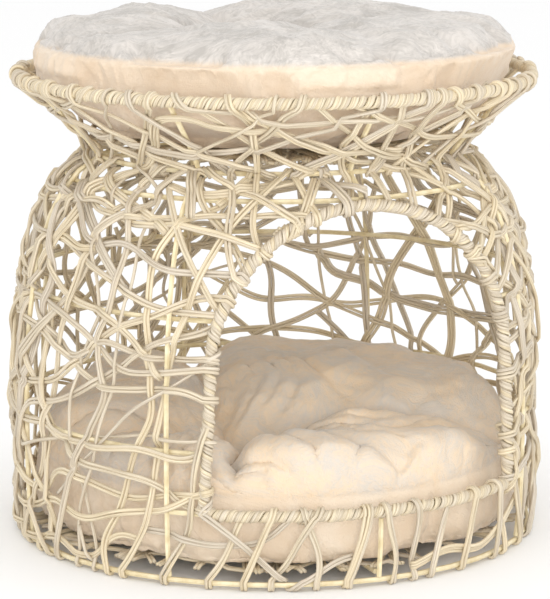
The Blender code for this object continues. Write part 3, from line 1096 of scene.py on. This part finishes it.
def bake_modifiers(obj):
    """Replaces an object's mesh by what its modifiers make of it, and drops them."""
    graph = bpy.context.evaluated_depsgraph_get()
    evaluated = obj.evaluated_get(graph)
    mesh = bpy.data.meshes.new_from_object(evaluated)
    obj.modifiers.clear()
    old, obj.data = obj.data, mesh
    bpy.data.meshes.remove(old)
    mesh.name = obj.name


def simulate(obj, pinned, options):
    """Blows the cover up as cloth cut too large, held where pinned says, so that it wrinkles."""
    rest = coordinates(obj.data)
    group = obj.vertex_groups.new(name="pinned")
    for index, weight in enumerate(pinned):
        if weight > 0.01:
            group.add([index], float(weight), "REPLACE")
    cloth = obj.modifiers.new("cloth", "CLOTH")
    settings = cloth.settings
    settings.quality = 6
    settings.mass = 0.25
    settings.tension_stiffness = 12.0
    settings.compression_stiffness = 6.0
    settings.shear_stiffness = 4.0
    settings.bending_stiffness = options["bending"]
    settings.use_pressure = True
    settings.uniform_pressure_force = options["pressure"]
    settings.shrink_min = -options["growth"]
    settings.vertex_group_mass = "pinned"
    settings.effector_weights.gravity = 0.0
    cloth.collision_settings.use_collision = False
    cloth.point_cache.frame_start = 1
    cloth.point_cache.frame_end = options["frames"]
    scene = bpy.context.scene
    for step in range(1, options["frames"] + 1):
        scene.frame_set(step)
    graph = bpy.context.evaluated_depsgraph_get()
    evaluated = obj.evaluated_get(graph)
    moved = coordinates(evaluated.data) - rest
    obj.modifiers.remove(cloth)
    obj.vertex_groups.remove(group)
    scene.frame_set(1)
    distance = np.linalg.norm(moved, axis=1)
    most = options["most"]
    scale = most * np.tanh(distance / most) / np.maximum(distance, 1e-9)
    set_coordinates(obj.data, rest + moved * scale[:, None])


def noise_field(points, scale, seed):
    offset = Vector((seed, seed * 0.7, -seed))
    return np.array([noise.noise(Vector(p) * scale + offset) for p in points.tolist()])


def crumple(points, normals, where, sizes, seed):
    """Moves points along their normals by sharp-valleyed noise of several scales."""
    change = np.zeros(len(points))
    for scale, amount in sizes:
        change += amount * (1.0 - 2.4 * np.abs(noise_field(points, scale, seed + scale)) ** 0.8)
    return points + normals * (change * where)[:, None]


def cave_room(z):
    """The greatest radius at each height inside the woven wall, over the lower cushion's whole lift."""
    lifts = np.linspace(0.0, LOWER_LIFT, LIFT_STEPS)
    heights, radii = WALL.points[:, 1], WALL.points[:, 0]
    return np.min([np.interp(z + lift, heights, radii) for lift in lifts], axis=0) - ROOM_INSET


def bowl_room(z):
    """The greatest radius at each height that stays inside the woven bowl, which opens out above its rim."""
    heights = np.append(BOWL_WALL.points[:, 1], (RIM_TOP, RIM_TOP + RIM_OPENS))
    radii = np.append(BOWL_WALL.points[:, 0], (RIM_RING[0], RIM_RING[0] + RIM_WIDENS))
    return np.interp(z, heights, radii) - BOWL_INSET


def held_inside(points, room):
    """Draws points in towards the axis where they pass the room's radius, without a sharp edge."""
    radial = np.hypot(points[:, 0], points[:, 1])
    past = np.logaddexp(0.0, (radial - room(points[:, 2])) / ROOM_SOFTNESS) * ROOM_SOFTNESS
    points[:, :2] *= ((radial - past) / np.maximum(radial, 0.001))[:, None]
    return points


def cushion_profile(curves, options):
    """The cover's outline before it is puffed up, as (radius, height) from the middle of its underside."""
    profile = []
    for part in ("bottom", "side", "top"):
        profile += [tuple(p) for p in bezier_points(curves[part], 14)]
    crown_from = curves["top"][0][1]
    return [
        (
            max(0.0, r - options["shrink"]),
            z if z < crown_from else crown_from + (z - crown_from) * options["flatten"],
        )
        for r, z in profile
    ]


def pins(points, bottom, options):
    """How firmly each point is held in the simulation: the seam, the underside and the tuft are."""
    radial = np.hypot(points[:, 0], points[:, 1])
    off_seam = np.abs(points[:, 2] - options["seam"]) + np.abs(radial - options["seam_radius"])
    pinned = np.clip(1.3 - off_seam / 0.006, 0.0, 1.0)
    pinned = np.maximum(pinned, (points[:, 2] < bottom + 0.006).astype(float))
    off_tuft = np.hypot(points[:, 0] - options["tuft"][0], points[:, 1] - options["tuft"][1])
    return np.maximum(pinned, np.clip(1.4 - off_tuft / 0.012, 0.0, 1.0))


def finished(points, normals, bottom, room, options):
    """The cover's points with wrinkles and the seam's groove, kept off the floor and the walls round it."""
    above = np.clip((points[:, 2] - options["seam"] + 0.004) / 0.014, 0.0, 1.0)
    loose = options["band_wrinkle"] + (1.0 - options["band_wrinkle"]) * above
    slack = room(points[:, 2]) - np.hypot(points[:, 0], points[:, 1])
    loose *= np.clip(slack / WRINKLE_FADE, LEAST_WRINKLE, 1.0)
    points = crumple(points, normals, loose, options["wrinkles"], options["seed"])
    radial = np.hypot(points[:, 0], points[:, 1])
    near_seam = np.exp(-(((points[:, 2] - options["seam"]) / 0.0022) ** 2)) * (radial > 0.16)
    points -= normals * (options["seam_depth"] * near_seam)[:, None]
    points[:, 2] = np.maximum(points[:, 2], bottom + FLOOR_CLEARANCE)
    return held_inside(points, room), radial


def mark_panels(mesh, points, normals, radial, options):
    """Writes the attribute that tells the top panel from the side band."""
    panel = mesh.attributes.new("panel", "FLOAT", "POINT")
    crown = (points[:, 2] - options["seam"]) / 0.003 + 0.5
    crown = np.maximum(crown, (normals[:, 2] > 0.0) * (0.205 - radial) / 0.004)
    panel.data.foreach_set("value", np.clip(crown, 0.0, 1.0).astype(np.float32))


def cushion(body, curves, options, room, material):
    """One cushion cover: turned, tufted, simulated as cloth, crumpled and seamed."""
    profile = cushion_profile(curves, options)
    bottom = profile[0][1]
    obj = cushion_form(f"{body}_cover", profile, options)
    simulate(obj, pins(coordinates(obj.data), bottom, options), options)
    set_coordinates(obj.data, held_inside(coordinates(obj.data), room))
    finer = obj.modifiers.new("finer", "SUBSURF")
    finer.levels = finer.render_levels = 1
    bake_modifiers(obj)
    normals = normals_of(obj.data)
    points, radial = finished(coordinates(obj.data), normals, bottom, room, options)
    set_coordinates(obj.data, points)
    mark_panels(obj.data, points, normals, radial, options)
    obj.data.shade_smooth()
    obj.data.materials.clear()
    obj.data.materials.append(material)
    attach(obj, body)
    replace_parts(obj, *(f"{body}_{part}" for part in ("top_panel", "side_band", "bottom_panel", "filling")))


def cushions(silver, peach):
    cushion("upper_cushion", UPPER_CUSHION, UPPER_OPTIONS, bowl_room, silver)
    cushion("lower_cushion", LOWER_CUSHION, LOWER_OPTIONS, cave_room, peach)


# ---------------------------------------------------------------- materials


def new_material(name):
    material = bpy.data.materials.new(name)
    material.use_nodes = True
    return material, material.node_tree.nodes, material.node_tree.links


def ramp_node(nodes, low, low_color, high, high_color):
    ramp = nodes.new("ShaderNodeValToRGB")
    ramp.color_ramp.elements[0].position = low
    ramp.color_ramp.elements[0].color = (*low_color, 1)
    ramp.color_ramp.elements[1].position = high
    ramp.color_ramp.elements[1].color = (*high_color, 1)
    return ramp


def add_node(nodes, kind, sockets=None, **settings):
    """A new node, with its settings made first, since they decide which sockets it has."""
    node = nodes.new(kind)
    for name, value in settings.items():
        setattr(node, name, value)
    for name, value in (sockets or {}).items():
        node.inputs[name].default_value = value
    return node


def noise_node(nodes, links, place, sockets):
    node = add_node(nodes, "ShaderNodeTexNoise", sockets)
    links.new(place, node.inputs["Vector"])
    return node


def mix_colors(nodes, links, low, high, blend_type="MIX"):
    node = add_node(nodes, "ShaderNodeMix", data_type="RGBA", blend_type=blend_type)
    links.new(low, node.inputs["A"])
    links.new(high, node.inputs["B"])
    return node


def finish_material(nodes, links, color, roughness, height, strength, distance):
    """Gives the shader its colour, its roughness and its bump."""
    shader = nodes["Principled BSDF"]
    links.new(color, shader.inputs["Base Color"])
    shader.inputs["Roughness"].default_value = roughness
    bump = add_node(nodes, "ShaderNodeBump", {"Strength": strength, "Distance": distance})
    links.new(height, bump.inputs["Height"])
    links.new(bump.outputs["Normal"], shader.inputs["Normal"])
    return shader


def strand_material():
    """Dry strands: fine lines along each, and a tone that changes from strand to strand."""
    material, nodes, links = new_material("strand")
    grain = add_node(nodes, "ShaderNodeAttribute", attribute_name="grain")
    tone = add_node(nodes, "ShaderNodeAttribute", attribute_name="tone")
    stretch = add_node(nodes, "ShaderNodeVectorMath", {1: (2.4, 2.4, 16.0)}, operation="MULTIPLY")
    links.new(grain.outputs["Vector"], stretch.inputs[0])
    lines = noise_node(nodes, links, stretch.outputs["Vector"], {"Scale": 1.8, "Detail": 4.0})
    ramp = ramp_node(nodes, 0.34, (0.49, 0.41, 0.30), 0.62, (0.84, 0.77, 0.66))
    links.new(lines.outputs["Fac"], ramp.inputs["Fac"])
    tones = ramp_node(nodes, 0.0, (0.84, 0.82, 0.79), 1.0, (1.0, 0.95, 0.80))
    links.new(tone.outputs["Fac"], tones.inputs["Fac"])
    mix = mix_colors(nodes, links, ramp.outputs["Color"], tones.outputs["Color"], "MULTIPLY")
    mix.inputs["Factor"].default_value = 1.0
    finish_material(nodes, links, mix.outputs["Result"], 0.5, lines.outputs["Fac"], 0.45, 0.0005)
    return material


def wire_material():
    """Cream paint, a little uneven."""
    material, nodes, links = new_material("cream_wire")
    place = nodes.new("ShaderNodeTexCoord").outputs["Object"]
    mottle = noise_node(nodes, links, place, {"Scale": 90.0, "Detail": 3.0})
    ramp = ramp_node(nodes, 0.35, (0.70, 0.58, 0.34), 0.65, (0.86, 0.76, 0.52))
    links.new(mottle.outputs["Fac"], ramp.inputs["Fac"])
    finish_material(nodes, links, ramp.outputs["Color"], 0.38, mottle.outputs["Fac"], 0.25, 0.0003)
    return material


def plush_material(name, looks):
    """Crushed velvet: pile brushed this way and that, so that patches catch the light differently."""
    material, nodes, links = new_material(name)
    place = nodes.new("ShaderNodeTexCoord").outputs["Object"]
    warp = noise_node(nodes, links, place, {"Scale": 9.0})
    shift = add_node(nodes, "ShaderNodeMix", {"Factor": 0.12}, data_type="VECTOR")
    links.new(place, shift.inputs["A"])
    links.new(warp.outputs["Color"], shift.inputs["B"])
    moved = shift.outputs["Result"]
    patches = noise_node(
        nodes, links, moved, {"Scale": looks["patch_scale"], "Detail": 6.0, "Roughness": 0.62}
    )
    streaks = noise_node(nodes, links, moved, {"Scale": 170.0, "Detail": 3.0, "Distortion": 1.2})
    pattern = add_node(nodes, "ShaderNodeMix", {"Factor": looks["streak_share"]})
    links.new(patches.outputs["Fac"], pattern.inputs["A"])
    links.new(streaks.outputs["Fac"], pattern.inputs["B"])
    top = ramp_node(nodes, 0.40, looks["top"][0], 0.60, looks["top"][1])
    links.new(pattern.outputs["Result"], top.inputs["Fac"])
    band = ramp_node(nodes, 0.38, looks["band"][0], 0.62, looks["band"][1])
    links.new(patches.outputs["Fac"], band.inputs["Fac"])
    panel = add_node(nodes, "ShaderNodeAttribute", attribute_name="panel")
    mix = mix_colors(nodes, links, band.outputs["Color"], top.outputs["Color"])
    links.new(panel.outputs["Fac"], mix.inputs["Factor"])
    pile = noise_node(nodes, links, place, {"Scale": 900.0, "Detail": 2.0})
    nap = add_node(nodes, "ShaderNodeMath", {1: 1.6}, operation="MULTIPLY_ADD")
    links.new(streaks.outputs["Fac"], nap.inputs[0])
    links.new(pile.outputs["Fac"], nap.inputs[2])
    shader = finish_material(
        nodes, links, mix.outputs["Result"], 0.75, nap.outputs["Value"], 0.5, 0.0012
    )
    shader.inputs["Sheen Weight"].default_value = 0.35
    shader.inputs["Sheen Roughness"].default_value = 0.3
    return material


# ---------------------------------------------------------------- stage


def stage_and_camera():
    bpy.ops.mesh.primitive_plane_add(size=12, location=(0, 0, 0))
    floor = bpy.context.object
    floor.name = "stage_floor"
    material, nodes, _ = new_material("stage_floor")
    shader = nodes["Principled BSDF"]
    shader.inputs["Base Color"].default_value = (0.95, 0.95, 0.95, 1)
    shader.inputs["Roughness"].default_value = 0.9
    floor.data.materials.append(material)

    camera_data = bpy.data.cameras.new("camera")
    camera_data.lens = CAMERA_LENS
    camera_data.sensor_width = 36.0
    camera = bpy.data.objects.new("camera", camera_data)
    camera.location = (
        CAMERA_DISTANCE * math.sin(CAMERA_TURN),
        -CAMERA_DISTANCE * math.cos(CAMERA_TURN),
        CAMERA_HEIGHT,
    )
    camera.rotation_euler = (CAMERA_TILT, 0.0, CAMERA_TURN)
    bpy.context.scene.collection.objects.link(camera)
    bpy.context.scene.camera = camera

    world = bpy.data.worlds.new("studio")
    world.use_nodes = True
    background = world.node_tree.nodes["Background"]
    background.inputs["Color"].default_value = (1.0, 1.0, 1.0, 1)
    background.inputs["Strength"].default_value = 1.03
    bpy.context.scene.world = world
    for name, place, size, power in LIGHTS:
        data = bpy.data.lights.new(name, "AREA")
        data.size = size
        data.energy = power
        light = bpy.data.objects.new(name, data)
        light.location = place
        light.rotation_euler = (Vector((0, 0, 0.25)) - light.location).to_track_quat("-Z", "Y").to_euler()
        bpy.context.scene.collection.objects.link(light)
    bpy.context.scene.view_settings.view_transform = "Standard"


def set_material(node, material):
    obj = frame["nodes"][node]
    obj.data.materials.clear()
    obj.data.materials.append(material)


def main():
    stage_and_camera()
    strand = strand_material()
    wire = wire_material()
    silver = plush_material("silver_plush", SILVER_PLUSH)
    peach = plush_material("peach_plush", PEACH_PLUSH)
    for entry in frame["record"]["subparts"]:
        if entry["material_slot"] == "cream_wire":
            set_material(entry["node"], wire)
    weave(strand)
    floors(strand)
    bindings(strand)
    cushions(silver, peach)


main()
